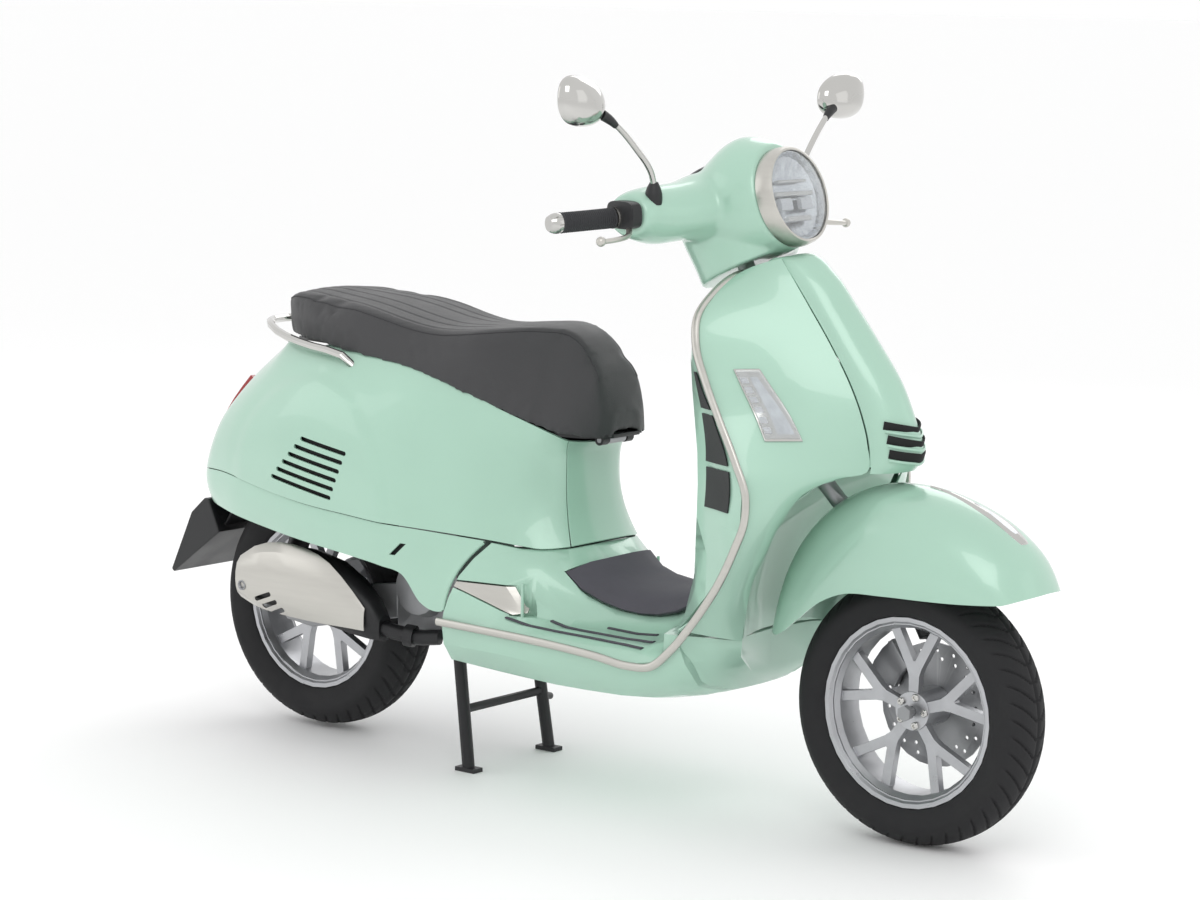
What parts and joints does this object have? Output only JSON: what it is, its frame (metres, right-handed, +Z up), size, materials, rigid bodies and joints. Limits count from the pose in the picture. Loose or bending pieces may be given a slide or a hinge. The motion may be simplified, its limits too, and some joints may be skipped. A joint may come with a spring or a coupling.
{
  "type": "motor scooter",
  "caption": "Step-through motor scooter on its centre stand: pressed body, leg shield, rounded headset, long seat over a storage bucket, swinging engine unit and spoked alloy wheels.",
  "frame": {"origin": "middle of the overall length and width, on the floor the centre stand and front tyre rest on", "axes": "+X towards the front wheel, +Y to the rider's left, +Z up"},
  "size_m": [1.98, 0.9, 1.312],
  "materials": {
    "paint": "pale mint-green gloss with a fine metallic",
    "black_plastic": "fine-grained satin",
    "seat_vinyl": "grained vinyl, stitched",
    "satin_metal": "satin anodised",
    "chrome": "polished",
    "graphite": "graphite paint with machined edges",
    "alloy": "cast, satin",
    "tyre": "matt",
    "steel": "satin",
    "mat_rubber": "ribbed",
    "grip_rubber": "ribbed",
    "clear_lens": "clear, fluted",
    "red_lens": "clear red"
  },
  "bodies": {
    "frame": {"rear_body": "paint", "side_panel_left": "paint", "side_panel_right": "paint", "column_cover": "paint", "footboard": "paint", "tunnel_mat": "mat_rubber", "leg_shield_left": "paint", "leg_shield_right": "paint", "horn_cover": "paint", "inner_shield": "paint", "shield_trim": "satin_metal", "wheel_well": "black_plastic", "seat_hinge": "steel", "storage_bucket": "black_plastic", "grab_rail": "chrome", "tail_light": "red_lens", "rear_mudguard": "black_plastic", "engine_block": "alloy", "transmission_case": "alloy", "rear_arm": "alloy", "shock_beam": "steel", "rear_shock_left": "black_plastic", "rear_shock_right": "black_plastic", "silencer": "steel", "heat_shield": "satin_metal", "front_indicator_left": "clear_lens", "front_indicator_right": "clear_lens", "side_grille_left": "black_plastic", "side_grille_right": "black_plastic"},
    "steering": {"fork": "steel", "link_arm": "alloy", "front_shock": "black_plastic", "front_fender": "paint", "brake_caliper": "steel", "headset": "paint", "dash": "black_plastic", "headlight_ring": "satin_metal", "headlight": "clear_lens", "handlebar": "chrome", "grip_left": "grip_rubber", "grip_right": "grip_rubber", "brake_lever_left": "satin_metal", "brake_lever_right": "satin_metal", "mirror_left": "chrome", "mirror_right": "chrome"},
    "front_wheel": {"front_tyre": "tyre", "front_rim": "graphite", "front_disc": "steel"},
    "rear_wheel": {"rear_tyre": "tyre", "rear_rim": "graphite"},
    "seat_lid": {"seat_cushion": "seat_vinyl", "seat_base": "black_plastic"},
    "glovebox_door": {"glovebox_lid": "paint"},
    "stand": {"centre_stand": "steel"},
    "footrest_left_body": {"footrest_left": "satin_metal"},
    "footrest_right_body": {"footrest_right": "satin_metal"}
  },
  "joints": [
    {"name": "steering_turn", "type": "hinge", "parent": "frame", "child": "steering", "pos_m": [0.352, 0, 0.985], "axis": [-0.4462, 0, 0.8949], "range_deg": [-40, 40]},
    {"name": "front_wheel_spin", "type": "hinge", "parent": "steering", "child": "front_wheel", "pos_m": [0.745, 0, 0.2364], "axis": [0, 1, 0], "continuous": true},
    {"name": "rear_wheel_spin", "type": "hinge", "parent": "frame", "child": "rear_wheel", "pos_m": [-0.633, 0, 0.2494], "axis": [0, 1, 0], "continuous": true},
    {"name": "stand_swing", "type": "hinge", "parent": "frame", "child": "stand", "pos_m": [-0.203, 0, 0.226], "axis": [0, 1, 0], "range_deg": [0, 70]},
    {"name": "seat_lift", "type": "hinge", "parent": "frame", "child": "seat_lid", "pos_m": [0.069, 0, 0.643], "axis": [0, 1, 0], "range_deg": [0, 62]},
    {"name": "glovebox_open", "type": "hinge", "parent": "frame", "child": "glovebox_door", "pos_m": [0.388, 0, 0.66], "axis": [0, -1, 0], "range_deg": [0, 65]},
    {"name": "footrest_left_fold", "type": "hinge", "parent": "frame", "child": "footrest_left_body", "pos_m": [0.023, 0.204, 0.36], "axis": [0, 0, -1], "range_deg": [0, 80]},
    {"name": "footrest_right_fold", "type": "hinge", "parent": "frame", "child": "footrest_right_body", "pos_m": [0.023, -0.204, 0.36], "axis": [0, 0, 1], "range_deg": [0, 80]}
  ]
}
